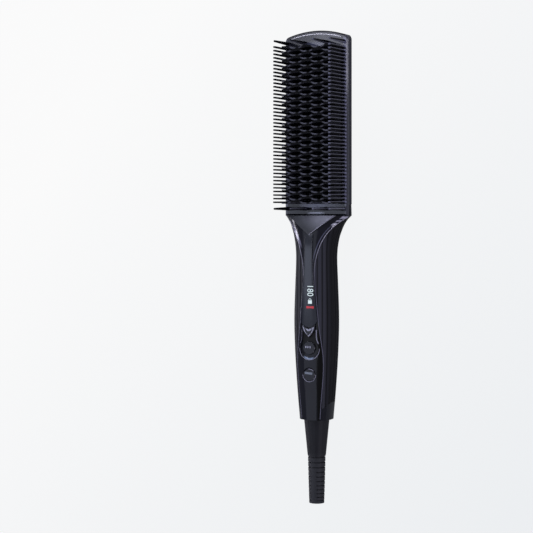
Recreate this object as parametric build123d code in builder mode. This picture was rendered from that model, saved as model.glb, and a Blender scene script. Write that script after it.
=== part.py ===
from build123d import *
import math
import os

os.makedirs("parts", exist_ok=True)

# A heated straightening brush, lying on its back with the teeth up.
# X is across the tool, Y runs from the strain relief to the tip of the head, Z is up.
# Sizes are in mm. Distances along the tool are measured from the tail end of the handle.

# Overall sizes
TOTAL_LEN = 300.0  # tail end to tip
HANDLE_LEN = 157.0  # tail end to the widest corner of the flare
RELIEF_LEN = 65.0  # strain relief outside the handle
HEAD_BACK = 17.0  # back of the head behind the handle axis, which the tool lies on
CLEAR = 0.2  # clearance round keys and inserts
SEAT = 0.3  # gap between a moving piece and what carries it

# Handle shell: distance, half width, half depth, shift of the centre, squareness
STATIONS = [
    (0.0, 12.6, 11.7, 0.0, 2.5),
    (23.0, 14.6, 12.7, 0.0, 2.5),
    (50.0, 16.4, 13.6, 0.0, 2.5),
    (76.0, 17.2, 14.0, 0.0, 2.5),
    (102.0, 16.3, 14.2, 0.0, 2.5),
    (125.5, 15.4, 14.3, 0.0, 2.5),
    (137.0, 16.8, 14.3, -0.3, 2.4),
    (145.7, 19.6, 14.0, -1.0, 2.3),
    (152.0, 23.2, 13.7, -2.1, 2.1),
    (HANDLE_LEN, 27.9, 13.3, -3.2, 2.0),
]
ROOT_STATION = (187.0, 27.3, 13.9, -3.1, 1.8)
WALL = 2.2
REEDS = 26  # reeds round the handle
REED_H = 0.45
REED_LAND = 0.4  # share of a reed that is its flat top
SMALL_SIDES = 8  # sides of small round parts that are hidden, kept few for a light mesh
OUTLINE_SIDES = 36  # sides that stand for the curve of a section, kept few for a light mesh
INNER_SIDES = 24  # the same on the inside of the shells
SECTION_COUNT = 16

# Gloss front of the handle: half width and distance along its edge
PANEL_EDGE = [
    (7.9, 0.0),
    (10.2, 27.0),
    (11.0, 50.0),
    (8.7, 69.0),
    (6.3, 94.0),
    (4.9, 115.0),
    (8.0, 131.0),
    (12.8, 141.8),
    (19.2, 150.0),
    (27.9, 156.6),
]
PARTING = 1.5  # parting plane of the head behind the axis

# Satin triangle at the neck
FACET_HALF_W = 19.5
FACET_APEX = 142.0
FACET_LOW_Z = 10.6  # height above the axis at the head end
FACET_HIGH_Z = 14.7  # height above the axis at the apex

# Raised display strip
LENS_TOP = FACET_APEX + 0.6  # a little past the facet's apex, which notches it
LENS_EDGE = [(3.6, LENS_TOP), (4.2, 112.0), (5.7, 94.0), (6.9, 80.0)]
LENS_CORNER = (7.3, 76.5)
LENS_END = 71.9
LENS_PROUD = 0.8
LENS_BED = 0.9  # depth that the strip is let into the panel

# Recess round the two upper keys
RECESS_DEPTH = 1.1
RECESS_NARROW = 5.9
RECESS_WIDE = 8.0
RECESS_WAIST = (69.5, 63.5)  # stretch over which the recess keeps its narrow width
RECESS_END = 46.7

# Keys
KEY_TRAVEL = 0.5
KEY_SIDES = 24  # sides of the round keys, kept few for a light mesh
KEY_LIP = 0.8  # width and thickness of the lip that keeps a key in
KEY_BEVEL = 0.4
KEY_UP_TOP = 74.0
KEY_UP_TIP = 63.7
KEY_UP_HALF_W = 5.4
KEY_UP_SHOULDER = (5.0, 69.5)  # half width and place of the corner above the pointed end
KEY_UP_HOLLOW = 70.9  # middle of the arc that goes round the end of the strip
KEY_UP_PROUD = 0.8
KEY_MODE_AT = 55.5
KEY_MODE_R = 5.1
KEY_MODE_PROUD = 0.2
KEY_POWER_AT = 34.9
KEY_POWER_R = 4.9
KEY_POWER_PROUD = 0.1
POWER_RIM = 0.6  # depth of the bevel round the power key
RIM_ANGLE = 40.0  # of the bevel, from upright

# Tail band
BAND_SIDE = 15.2
BAND_MID = 5.9
TAIL_WALL = 2.5

# Neck collar, on the back
COLLAR_HALF_W = 28.5
COLLAR_TOP_MID = 182.9
COLLAR_TOP_SIDE = 161.5
COLLAR_LOW_MID = 162.8
COLLAR_LOW_SIDE = 148.8

# Head
HEAD_HALF_W = 26.9
HEAD_WALL = 1.6
HEAD_SIDE_Z = 5.6  # where the side wall meets the round back
HEAD_REEDS = 17
FOOT_REEDS = 3  # middle reeds whose tops lie in one plane, so that the head lies still
HEAD_BOW = 4.9  # rise of the bowed tip
HEAD_CORNER_R = 4.0
FRAME_TOP = 1.5
FRAME_BEVEL = 1.2
WINDOW_MARGIN = 1.3  # window edge beyond the first and last tooth

# Combs
TEETH = 44
PITCH = 2.765
FIRST_TOOTH = 167.2
COMB_X = 23.3
TOOTH_TOP = 26.5  # above the axis
RAIL_W = 2.2
TOOTH_BASE = (2.0, 1.5)
TOOTH_DRAFT = 0.15  # how far each side of a tooth leans in from its root to its tip

# End pins
PIN_R = 1.5
PIN_TIP_R = 0.8
PIN_SIDES = 10
PIN_INNER_X = 9.4
PIN_TOP_AT = 290.6
PIN_LOW_AT = 162.2

# Heated fins
FIN_TOP = 18.6  # above the axis
FIN_T = 1.0
FIN_AMP = 0.7
FIN_WAVE = 18.6
FIN_FLAT = 0.55  # share of each half wave that runs straight across
FIN_HALF_W = 20.9
BASE_T = 2.0

# Heater stack, downward from the base plate
BAR_T = 2.0
BAR_W = 8.0
BAR_LEN = 104.0
BAR_X = 9.0
MICA_T = 0.6
CARRIER_T = 2.0
CARRIER_POST_R = 3.4
CARRIER_POST_X = 18.0
CARRIER_POST_LOW = 183.0
CARRIER_POST_TOP = 280.0
SCREW_R = 1.1
SCREW_HEAD_R = 2.0
SCREW_HEAD_T = 1.1
SCREW_LEN = 5.0
FUSE_R = 1.8
FUSE_LEN = 10.0
FUSE_AT = 246.0
SENSOR_R = 1.5
SENSOR_LEN = 5.0
SENSOR_AT = 205.0

# Boards in the handle
BOARD_T = 1.2
BOARD_Z = 3.6  # underside of the control board above the axis
BOARD_HALF_W = 8.0
BOARD_FROM = 24.0
BOARD_TO = 114.0
SWITCH_W = 6.0
SWITCH_H = 2.8
SWITCH_PLUNGER_R = 1.6
SWITCH_PLUNGER_H = 0.8
DISPLAY_HALF_W = 3.8
DISPLAY_FROM = 84.0
DISPLAY_TO = 106.0
POWER_BOARD_Z = -5.6
POWER_BOARD_FROM = 50.0
POWER_BOARD_TO = 114.0
POST_R = 2.2
POST_INSET = 4.0  # screw centre from a board's end
CAPACITOR = (12.0, 7.0, 6.0)
CAPACITOR_AT = 66.0
TRANSISTOR = (9.0, 4.0, 6.5)
TRANSISTOR_AT = 77.0
LINE_FUSE_R = 2.2
LINE_FUSE_LEN = 12.0
LINE_FUSE_AT = 86.0
HEADER_AT = 98.0
HEADER_PINS = 4
HEADER_PITCH = 2.5
LEAD_R = 0.9
LEAD_X = 5.0
LEAD_RISE = 171.0
LEAD_NECK = 153.4  # where the heater leads straighten out under the head
LEAD_START = 7.2  # straight stretch of the supply leads at the cradle

# Strain relief
RELIEF_R = 9.9
SLEEVE_LEN = 28.0
SLEEVE_END_R = 7.2
TAIL_R = 5.9
RIB_DEPTH = 1.0
RIBS = 11
RIB_SHRINK = 0.4  # share by which the ribs get closer towards the end
GROOVE_SHARE = 0.25  # share of a rib's pitch that is groove
GROOVE_W = 0.8
RELIEF_SIDES = 20  # sides of the sleeve and ribs, kept few for a light mesh
GROOVE_SIDES = 10
FULL_GROOVES = 3
WEB_W = 5.0
CORD_BORE_R = 3.2
NECK_R = 6.4
SPOOL_FLANGE_R = 7.6
SPOOL_FLANGE_T = 1.4
SPOOL_R = 4.6
SPOOL_LEN = 12.0
RING_T = 0.7
RING_W = 2.2
CRADLE_HALF_W = 8.0
STRIP_T = 0.4

# Places worked out from the sizes above
AXIS_Z = HEAD_BACK
TAIL_Y = (RELIEF_LEN - TOTAL_LEN) / 2
LAST_TOOTH = FIRST_TOOTH + (TEETH - 1) * PITCH
BACK_SAG = HEAD_BACK - HEAD_SIDE_Z
BACK_R = (HEAD_HALF_W**2 + BACK_SAG**2) / (2 * BACK_SAG)
BACK_CENTRE = BACK_R - HEAD_BACK
BACK_ANGLE = math.asin(HEAD_HALF_W / BACK_R)


def at(distance):
    """Y of a place given by its distance from the tail end of the handle."""
    return TAIL_Y + distance


def cross(distance):
    """Plane across the tool, facing the tail, with the handle axis as its origin."""
    return Plane(origin=(0, at(distance), AXIS_Z), x_dir=(1, 0, 0), z_dir=(0, -1, 0))


def level(height):
    """Plane parallel to the table, given by its height above the handle axis."""
    return Plane.XY.offset(AXIS_Z + height)


def plan(points):
    """Points given as half width and distance, as points of a sketch seen from above."""
    return [(x, at(distance)) for x, distance in points]


def oval_point(station, angle, grow):
    """Point of a shell section in the direction of angle, pushed outward by grow."""
    half_w, half_d, shift, power = station[1:]
    c, s = math.cos(angle), math.sin(angle)
    r = (abs(c / half_w) ** power + abs(s / half_d) ** power) ** (-1 / power) + grow
    return (r * c, r * s + shift)


def smooth_oval(station, grow=0.0):
    """Closed outline of a shell section, inside the current line."""
    sides = INNER_SIDES if grow < -LENS_BED else OUTLINE_SIDES
    step = 2 * math.pi / sides
    Polyline(*[oval_point(station, i * step, grow) for i in range(sides)], close=True)


def reeded_oval(station):
    """Shell section with a flat top and two flanks for each reed, inside the current line."""
    step = 2 * math.pi / REEDS
    profile = ((-0.5, -REED_H), (-REED_LAND / 2, 0.0), (REED_LAND / 2, 0.0))
    Polyline(
        *[oval_point(station, (i + share) * step, grow) for i in range(REEDS) for share, grow in profile],
        close=True,
    )


def station_at(distance):
    """Shell section at any distance, on a smooth curve through the stations."""
    last = len(STATIONS) - 1
    i = max(k for k in range(last) if k == 0 or STATIONS[k][0] <= distance)
    before, start, end, after = (STATIONS[min(max(k, 0), last)] for k in range(i - 1, i + 3))
    span = end[0] - start[0]
    t = (distance - start[0]) / span
    section = [distance]
    for column in range(1, len(start)):
        rise_in = (end[column] - before[column]) / (end[0] - before[0]) * span
        rise_out = (after[column] - start[column]) / (after[0] - start[0]) * span
        section.append(
            start[column] * (1 - t) ** 2 * (1 + 2 * t)
            + end[column] * t**2 * (3 - 2 * t)
            + rise_in * t * (1 - t) ** 2
            - rise_out * t**2 * (1 - t)
        )
    return tuple(section)


# Evenly spaced sections that the handle is lofted through
SECTIONS = [station_at(HANDLE_LEN * i / SECTION_COUNT) for i in range(SECTION_COUNT + 1)]


def front_height(distance, grow=0.0):
    """Height of the handle's front above the axis, on the middle line."""
    station = station_at(distance)
    return station[3] + station[2] + grow


# Handle bodies that the shells are cut from


def handle_body(grow):
    """Solid handle with smooth sections, grown by grow, up to the flare."""
    with BuildPart() as body:
        for station in SECTIONS:
            with BuildSketch(cross(station[0])):
                with BuildLine():
                    smooth_oval(station, grow)
                make_face()
        loft()
    return body.part


def root_body(grow):
    """Lower end of the head that the neck collar wraps, grown by grow."""
    with BuildPart() as body:
        for station in (SECTIONS[-1], ROOT_STATION):
            with BuildSketch(cross(station[0])):
                with BuildLine():
                    smooth_oval(station, grow)
                make_face()
        loft(ruled=True)
    return body.part


with BuildPart() as reeded_body:
    for station in SECTIONS:
        with BuildSketch(cross(station[0])):
            with BuildLine():
                reeded_oval(station)
            make_face()
    loft()

with BuildPart() as reeded_root:
    for station in (SECTIONS[-1], ROOT_STATION):
        with BuildSketch(cross(station[0])):
            with BuildLine():
                reeded_oval(station)
            make_face()
    loft(ruled=True)

outer_body = handle_body(0.0)
inner_body = handle_body(-WALL)
lens_body = handle_body(LENS_PROUD)
bed_body = handle_body(-LENS_BED)
recess_body = handle_body(-RECESS_DEPTH)
outer_root = root_body(0.0)
inner_root = root_body(-WALL)

# Outlines seen from above

with BuildSketch() as panel_plan:
    with BuildLine():
        edge = Spline(*plan(PANEL_EDGE))
        Polyline(edge @ 1, (COLLAR_HALF_W, at(HANDLE_LEN)), (0, at(HANDLE_LEN)), (0, at(0)), edge @ 0)
    make_face()
    mirror(about=Plane.YZ)

with BuildSketch() as facet_plan:
    with BuildLine():
        Polyline(
            *plan([(-FACET_HALF_W, HANDLE_LEN), (0, FACET_APEX), (FACET_HALF_W, HANDLE_LEN)]),
            close=True,
        )
    make_face()

with BuildSketch() as lens_plan:
    with BuildLine():
        edge = Spline(*plan(LENS_EDGE + [LENS_CORNER]))
        ThreePointArc(edge @ 1, (0, at(LENS_END)), (-LENS_CORNER[0], at(LENS_CORNER[1])))
        mirror(edge, about=Plane.YZ)
        Line(edge @ 0, (-LENS_EDGE[0][0], at(LENS_TOP)))
    make_face()

with BuildSketch() as recess_plan:
    with BuildLine():
        waist = Spline(
            *plan([LENS_CORNER]),
            *plan([(RECESS_NARROW, distance) for distance in RECESS_WAIST]),
            *plan([(RECESS_WIDE, KEY_MODE_AT)]),
        )
        ThreePointArc(waist @ 1, (0, at(RECESS_END)), (-RECESS_WIDE, at(KEY_MODE_AT)))
        mirror(waist, about=Plane.YZ)
        Line(waist @ 0, (-LENS_CORNER[0], at(LENS_CORNER[1])))
    make_face()

with BuildSketch() as key_up_plan:
    with BuildLine():
        Polyline(
            (KEY_UP_HALF_W, at(KEY_UP_TOP)),
            (KEY_UP_SHOULDER[0], at(KEY_UP_SHOULDER[1])),
            (0, at(KEY_UP_TIP)),
            (-KEY_UP_SHOULDER[0], at(KEY_UP_SHOULDER[1])),
            (-KEY_UP_HALF_W, at(KEY_UP_TOP)),
        )
        ThreePointArc(
            (-KEY_UP_HALF_W, at(KEY_UP_TOP)),
            (0, at(KEY_UP_HOLLOW)),
            (KEY_UP_HALF_W, at(KEY_UP_TOP)),
        )
    make_face()

with BuildSketch() as band_plan:
    with BuildLine():
        rim = ThreePointArc(*plan([(-STATIONS[1][1], BAND_SIDE), (0, BAND_MID), (STATIONS[1][1], BAND_SIDE)]))
        Polyline(rim @ 1, *plan([(STATIONS[1][1], -1), (-STATIONS[1][1], -1)]), rim @ 0)
    make_face()

with BuildSketch() as collar_plan:
    with BuildLine():
        top = ThreePointArc(
            *plan(
                [(-COLLAR_HALF_W, COLLAR_TOP_SIDE), (0, COLLAR_TOP_MID), (COLLAR_HALF_W, COLLAR_TOP_SIDE)]
            )
        )
        low = ThreePointArc(
            *plan(
                [(-COLLAR_HALF_W, COLLAR_LOW_SIDE), (0, COLLAR_LOW_MID), (COLLAR_HALF_W, COLLAR_LOW_SIDE)]
            )
        )
        Line(top @ 0, low @ 0)
        Line(top @ 1, low @ 1)
    make_face()

with BuildSketch() as head_plan:
    with BuildLine():
        bow = ThreePointArc(
            *plan([(-HEAD_HALF_W, TOTAL_LEN - HEAD_BOW), (0, TOTAL_LEN), (HEAD_HALF_W, TOTAL_LEN - HEAD_BOW)])
        )
        Polyline(bow @ 1, *plan([(HEAD_HALF_W, HANDLE_LEN), (-HEAD_HALF_W, HANDLE_LEN)]), bow @ 0)
    make_face()
    fillet(head_plan.vertices().group_by(Axis.Y)[-1], HEAD_CORNER_R)

FULL = 2 * (AXIS_Z + TOOTH_TOP)  # taller than anything on the tool


def upright(outline, low, high):
    """Solid prism of a plan outline, between two heights above the handle axis."""
    return extrude(level(low) * outline, amount=high - low, mode=Mode.PRIVATE)


def slab(low, high):
    """Block across the whole tool between two distances."""
    middle = Pos(0, at((low + high) / 2), AXIS_Z)
    return middle * Box(FULL, high - low, FULL, mode=Mode.PRIVATE)


def ceiling(distance, half_w):
    """Height of the inner face of the handle's front above the axis, half_w from the middle."""
    width, depth, shift, power = station_at(distance)[1:]
    return shift + (depth - WALL) * (1 - (half_w / (width - WALL)) ** power) ** (1 / power)


def head_core(grow):
    """Solid head behind the parting plane, with a smooth round back, grown by grow."""
    radius = BACK_R + grow
    reach = radius * math.sin(BACK_ANGLE)
    rise = BACK_CENTRE - radius * math.cos(BACK_ANGLE)
    with BuildPart() as core:
        with BuildSketch(cross(TOTAL_LEN)):
            with BuildLine():
                back = ThreePointArc((-reach, rise), (0, BACK_CENTRE - radius), (reach, rise))
                Polyline(
                    back @ 1,
                    (HEAD_HALF_W, rise),
                    (HEAD_HALF_W, -PARTING),
                    (-HEAD_HALF_W, -PARTING),
                    (-HEAD_HALF_W, rise),
                    back @ 0,
                )
            make_face()
        extrude(amount=TOTAL_LEN - HANDLE_LEN)
        grown_plan = offset(head_plan.sketch, grow, mode=Mode.PRIVATE)
        add(upright(grown_plan, -AXIS_Z, FULL), mode=Mode.INTERSECT)
    return core.part


def screws(places, under_head, length):
    """Screws whose shanks go down from under_head, or up from it where length is negative."""
    with BuildPart() as made:
        for radius, drop in ((SCREW_R, length), (SCREW_HEAD_R, -math.copysign(SCREW_HEAD_T, length))):
            with BuildSketch(level(under_head)):
                with Locations(*places):
                    RegularPolygon(radius, SMALL_SIDES)
            extrude(amount=-drop)
    return made.part


def finish(part, name):
    """Label a finished piece and write it out."""
    part.label = name
    export_step(part, f"parts/{name}.step")


panel_prism = upright(panel_plan.sketch, -PARTING, FULL)
collar_prism = upright(collar_plan.sketch, -AXIS_Z, -PARTING)
facet_prism = upright(facet_plan.sketch, 0, FULL)
lens_prism = upright(lens_plan.sketch, 0, FULL)
band_prism = upright(band_plan.sketch, -AXIS_Z, FULL)
post_body = handle_body(-WALL / 2)
seat_body = handle_body(-WALL - CLEAR / 2)

# Screws of the two boards
board_posts = [
    (-BOARD_HALF_W + POST_R, at(BOARD_FROM + POST_INSET)),
    (0, at(BOARD_TO - POST_INSET)),
]
power_posts = [
    (-BOARD_HALF_W + POST_R, at(POWER_BOARD_FROM + POST_INSET)),
    (BOARD_HALF_W - POST_R, at(POWER_BOARD_TO - POST_INSET)),
]
SCREW_HOLE_R = SCREW_R + CLEAR / 2
POST_DEPTH = SCREW_LEN + CLEAR
board_top = BOARD_Z + BOARD_T
power_top = POWER_BOARD_Z + BOARD_T

# Grip shell: reeded back and sides of the handle, moulded with posts for the power board, and
# with a tongue that reaches under the arch of the neck collar
with BuildPart() as grip_posts:
    with BuildSketch(level(POWER_BOARD_Z)):
        with Locations(*power_posts):
            RegularPolygon(POST_R, SMALL_SIDES)
    extrude(amount=-HEAD_BACK - POWER_BOARD_Z)
    add(post_body, mode=Mode.INTERSECT)
with BuildPart() as grip_tongue:
    add(reeded_root.part & slab(HANDLE_LEN, COLLAR_LOW_MID))
    add(inner_root, mode=Mode.SUBTRACT)
    split(bisect_by=level(-PARTING), keep=Keep.BOTTOM)
with BuildPart() as grip_shell:
    add(reeded_body.part)
    add(inner_body, mode=Mode.SUBTRACT)
    add(grip_tongue.part)
    add(grip_posts.part)
    with BuildSketch(level(POWER_BOARD_Z)):
        with Locations(*power_posts):
            RegularPolygon(SCREW_HOLE_R, SMALL_SIDES)
    extrude(amount=-POST_DEPTH, mode=Mode.SUBTRACT)
    add(panel_prism, mode=Mode.SUBTRACT)
    add(collar_prism, mode=Mode.SUBTRACT)
    add(band_prism, mode=Mode.SUBTRACT)
finish(grip_shell.part, "grip_shell")

# Tail band: gloss end of the handle, with the end wall that the strain relief turns in
with BuildPart() as tail_band:
    add(outer_body)
    add(inner_body, mode=Mode.SUBTRACT)
    add(post_body & slab(0, TAIL_WALL))
    add(band_prism, mode=Mode.INTERSECT)
    add(panel_prism, mode=Mode.SUBTRACT)
    add(seat_body & slab(0, TAIL_WALL))
    with BuildSketch(cross(TAIL_WALL)):
        Circle(NECK_R + SEAT)
    extrude(amount=TAIL_WALL, mode=Mode.SUBTRACT)
finish(tail_band.part, "tail_band")


def disc(distance, radius):
    """Plan outline of a round key."""
    return Pos(0, at(distance)) * RegularPolygon(radius, KEY_SIDES, mode=Mode.PRIVATE)


# Keys: outlines of the cap, its hole and its lip, then middle, half width and top above the front
GROWTHS = (0, CLEAR, KEY_LIP)
shield = [key_up_plan.sketch]
shield += [offset(key_up_plan.sketch, grow, mode=Mode.PRIVATE) for grow in GROWTHS[1:]]
KEYS = {
    "key_up": (shield, (KEY_UP_TOP + KEY_UP_TIP) / 2, KEY_UP_HALF_W, KEY_UP_PROUD),
    "key_mode": (
        [disc(KEY_MODE_AT, KEY_MODE_R + grow) for grow in GROWTHS],
        KEY_MODE_AT,
        KEY_MODE_R,
        KEY_MODE_PROUD,
    ),
    "key_power": (
        [disc(KEY_POWER_AT, KEY_POWER_R + grow) for grow in GROWTHS],
        KEY_POWER_AT,
        KEY_POWER_R,
        KEY_POWER_PROUD,
    ),
}
plunger_top = board_top + SWITCH_H + SWITCH_PLUNGER_H

# Recess round the two upper keys, cut to an even depth under the panel's surface
with BuildPart() as recess:
    add(lens_body)
    add(recess_body, mode=Mode.SUBTRACT)
    add(upright(recess_plan.sketch, 0, FULL), mode=Mode.INTERSECT)

# Front panel: gloss front with the recess and holes of the keys, posts for the control board
# and an end wall that closes the handle above the head
with BuildPart() as panel_posts:
    with BuildSketch(level(board_top)):
        with Locations(*board_posts):
            RegularPolygon(POST_R, SMALL_SIDES)
    extrude(amount=HEAD_BACK)
    add(post_body, mode=Mode.INTERSECT)
display_hole = Pos(0, at((DISPLAY_FROM + DISPLAY_TO) / 2)) * Rectangle(
    2 * (DISPLAY_HALF_W - CLEAR), DISPLAY_TO - DISPLAY_FROM - 2 * CLEAR, mode=Mode.PRIVATE
)
with BuildPart() as front_panel:
    add(outer_body)
    add(inner_body, mode=Mode.SUBTRACT)
    add(post_body & slab(HANDLE_LEN - WALL, HANDLE_LEN))
    add(panel_prism, mode=Mode.INTERSECT)
    add(panel_posts.part)
    with BuildSketch(level(board_top)):
        with Locations(*board_posts):
            RegularPolygon(SCREW_HOLE_R, SMALL_SIDES)
    extrude(amount=POST_DEPTH, mode=Mode.SUBTRACT)
    add(facet_prism - inner_body, mode=Mode.SUBTRACT)
    add(lens_prism - bed_body, mode=Mode.SUBTRACT)
    add(upright(display_hole, board_top, FULL), mode=Mode.SUBTRACT)
    add(recess.part, mode=Mode.SUBTRACT)
    for (_, hole, _), *_ in KEYS.values():
        add(upright(hole, board_top, FULL), mode=Mode.SUBTRACT)
    with BuildSketch(level(front_height(KEY_POWER_AT, -POWER_RIM))):
        with Locations((0, at(KEY_POWER_AT))):
            RegularPolygon(KEY_POWER_R + CLEAR, KEY_SIDES)
    extrude(amount=2 * POWER_RIM, taper=-RIM_ANGLE, mode=Mode.SUBTRACT)
finish(front_panel.part, "front_panel")

# Neck facet: flat satin triangle that leans from the apex down to the head
facet_fall = (FACET_HIGH_Z - FACET_LOW_Z) / (HANDLE_LEN - FACET_APEX)
facet_top = Plane(
    origin=(0, at(HANDLE_LEN), AXIS_Z + FACET_LOW_Z), x_dir=(1, 0, 0), z_dir=(0, facet_fall, 1)
)
with BuildPart() as neck_facet:
    add(facet_prism)
    split(bisect_by=facet_top, keep=Keep.BOTTOM)
    add(inner_body, mode=Mode.SUBTRACT)
finish(neck_facet.part, "neck_facet")

# Display window: raised clear strip that follows the front from the facet to the keys
with BuildPart() as display_window:
    add(lens_body)
    add(bed_body, mode=Mode.SUBTRACT)
    add(lens_prism, mode=Mode.INTERSECT)
    add(facet_prism, mode=Mode.SUBTRACT)
finish(display_window.part, "display_window")

# Keys: cap, lip under the panel and a stem over the switch, which leaves room for the travel
for name, ((cap, _, lip), middle, half_w, proud) in KEYS.items():
    lip_top = ceiling(middle, half_w + KEY_LIP) - CLEAR
    with BuildPart() as key:
        add(upright(cap, lip_top - KEY_LIP, front_height(middle, proud)))
        chamfer(key.faces().sort_by(Axis.Z)[-1].edges(), KEY_BEVEL)
        add(upright(lip, lip_top - KEY_LIP, lip_top))
        with BuildSketch(level(lip_top - KEY_LIP)):
            with Locations((0, at(middle))):
                RegularPolygon(SWITCH_PLUNGER_R, SMALL_SIDES)
        extrude(amount=plunger_top + KEY_TRAVEL + CLEAR - (lip_top - KEY_LIP))
    finish(key.part, name)

# Key switches: one small square switch under each key
with BuildPart() as key_switches:
    for _, middle, *_ in KEYS.values():
        with Locations((0, at(middle), AXIS_Z + board_top)):
            Box(SWITCH_W, SWITCH_W, SWITCH_H, align=(Align.CENTER, Align.CENTER, Align.MIN))
        with BuildSketch(level(board_top + SWITCH_H)):
            with Locations((0, at(middle))):
                RegularPolygon(SWITCH_PLUNGER_R, SMALL_SIDES)
        extrude(amount=SWITCH_PLUNGER_H)
finish(key_switches.part, "key_switches")


def board(start, end, height, posts):
    """Circuit board with a screw hole at each post."""
    with BuildPart() as plate:
        with BuildSketch(level(height)):
            with Locations((0, at((start + end) / 2))):
                Rectangle(2 * BOARD_HALF_W, end - start)
            with Locations(*posts):
                RegularPolygon(SCREW_HOLE_R, SMALL_SIDES, mode=Mode.SUBTRACT)
        extrude(amount=BOARD_T)
    return plate.part


finish(board(BOARD_FROM, BOARD_TO, BOARD_Z, board_posts), "control_board")
finish(board(POWER_BOARD_FROM, POWER_BOARD_TO, POWER_BOARD_Z, power_posts), "power_board")

finish(screws(board_posts, BOARD_Z, -BOARD_T - SCREW_LEN), "board_screws")
finish(screws(power_posts, power_top, BOARD_T + SCREW_LEN), "power_screws")

# Display module: block of lit segments that reaches up under the window
display_top = ceiling(DISPLAY_TO, DISPLAY_HALF_W) - CLEAR
with BuildPart() as display_module:
    with BuildSketch(level(board_top)):
        with Locations((0, at((DISPLAY_FROM + DISPLAY_TO) / 2))):
            Rectangle(2 * DISPLAY_HALF_W, DISPLAY_TO - DISPLAY_FROM)
    extrude(amount=display_top - board_top)
finish(display_module.part, "display_module")

# Power parts: capacitor, switching transistor and fuse on the power board
with BuildPart() as power_parts:
    with Locations((0, at(CAPACITOR_AT), AXIS_Z + power_top)):
        Box(*CAPACITOR, align=(Align.CENTER, Align.CENTER, Align.MIN))
    with Locations((0, at(TRANSISTOR_AT), AXIS_Z + power_top)):
        Box(*TRANSISTOR, align=(Align.CENTER, Align.CENTER, Align.MIN))
    with Locations((0, at(LINE_FUSE_AT), AXIS_Z + power_top + LINE_FUSE_R)):
        Cylinder(LINE_FUSE_R, LINE_FUSE_LEN, rotation=(0, 90, 0))
finish(power_parts.part, "power_parts")

# Board header: row of pins that joins the two boards
with BuildPart() as board_header:
    header_at = at(HEADER_AT)
    with Locations((0, header_at, AXIS_Z + power_top)):
        Box(
            HEADER_PINS * HEADER_PITCH,
            HEADER_PITCH,
            HEADER_PITCH,
            align=(Align.CENTER, Align.CENTER, Align.MIN),
        )
    with Locations((0, header_at, AXIS_Z + power_top)):
        with GridLocations(HEADER_PITCH, HEADER_PITCH, HEADER_PINS, 1):
            Box(
                HEADER_PITCH / 4,
                HEADER_PITCH / 4,
                BOARD_Z - power_top,
                align=(Align.CENTER, Align.CENTER, Align.MIN),
            )
finish(board_header.part, "board_header")

# Neck collar: arched gloss band over the back of the neck
with BuildPart() as neck_collar:
    add(outer_body & slab(FACET_APEX, HANDLE_LEN))
    add(outer_root)
    add(inner_body, mode=Mode.SUBTRACT)
    add(inner_root, mode=Mode.SUBTRACT)
    add(collar_prism, mode=Mode.INTERSECT)
finish(neck_collar.part, "neck_collar")

# Heater stack, measured down from the base of the fins, which lies on the handle axis plane
mica_z = -BAR_T - MICA_T
carrier_z = mica_z - CARRIER_T
window_from = FIRST_TOOTH - WINDOW_MARGIN
window_to = LAST_TOOTH + WINDOW_MARGIN
window_mid = at((window_from + window_to) / 2)
window_len = window_to - window_from
window_half_w = COMB_X + RAIL_W / 2 + CLEAR
carrier_posts = [
    (x, at(d)) for x in (-CARRIER_POST_X, CARRIER_POST_X) for d in (CARRIER_POST_LOW, CARRIER_POST_TOP)
]

# Head back cover: round back with long reeds, a bowed tip and four screw posts
with BuildPart() as cover_posts:
    with BuildSketch(level(carrier_z)):
        with Locations(*carrier_posts):
            RegularPolygon(CARRIER_POST_R, SMALL_SIDES)
    extrude(amount=-HEAD_BACK - carrier_z)
    add(head_core(-REED_H - HEAD_WALL / 4), mode=Mode.INTERSECT)
with BuildPart() as head_back_cover:
    with BuildSketch(cross(TOTAL_LEN)):
        with BuildLine():
            step = 2 * BACK_ANGLE / HEAD_REEDS
            turns = [
                (i - HEAD_REEDS / 2 + share, r)
                for i in range(HEAD_REEDS)
                for share, r in (
                    (0, BACK_R - REED_H),
                    (0.5 - REED_LAND / 2, BACK_R),
                    (0.5 + REED_LAND / 2, BACK_R),
                )
            ]
            reed_line = [
                (
                    r * math.sin(turn * step),
                    BACK_CENTRE - (r if abs(turn) < FOOT_REEDS / 2 else r * math.cos(turn * step)),
                )
                for turn, r in turns
            ]
            Polyline(
                (-COLLAR_HALF_W, -PARTING),
                (-COLLAR_HALF_W, -HEAD_SIDE_Z),
                *reed_line,
                (COLLAR_HALF_W, -HEAD_SIDE_Z),
                (COLLAR_HALF_W, -PARTING),
                close=True,
            )
        make_face()
    extrude(amount=TOTAL_LEN - HANDLE_LEN)
    add(upright(head_plan.sketch, -AXIS_Z, FULL), mode=Mode.INTERSECT)
    add(head_core(-REED_H - HEAD_WALL), mode=Mode.SUBTRACT)
    add(cover_posts.part)
    with BuildSketch(level(carrier_z)):
        with Locations(*carrier_posts):
            RegularPolygon(SCREW_HOLE_R, SMALL_SIDES)
    extrude(amount=-POST_DEPTH, mode=Mode.SUBTRACT)
    with BuildSketch(level(-AXIS_Z)):
        with BuildLine():
            arch = ThreePointArc(
                *plan(
                    [(-COLLAR_HALF_W, COLLAR_TOP_SIDE), (0, COLLAR_TOP_MID), (COLLAR_HALF_W, COLLAR_TOP_SIDE)]
                )
            )
            Polyline(arch @ 1, *plan([(COLLAR_HALF_W, 0), (-COLLAR_HALF_W, 0)]), arch @ 0)
        make_face()
    extrude(amount=AXIS_Z, mode=Mode.SUBTRACT)
finish(head_back_cover.part, "head_back_cover")

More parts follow.
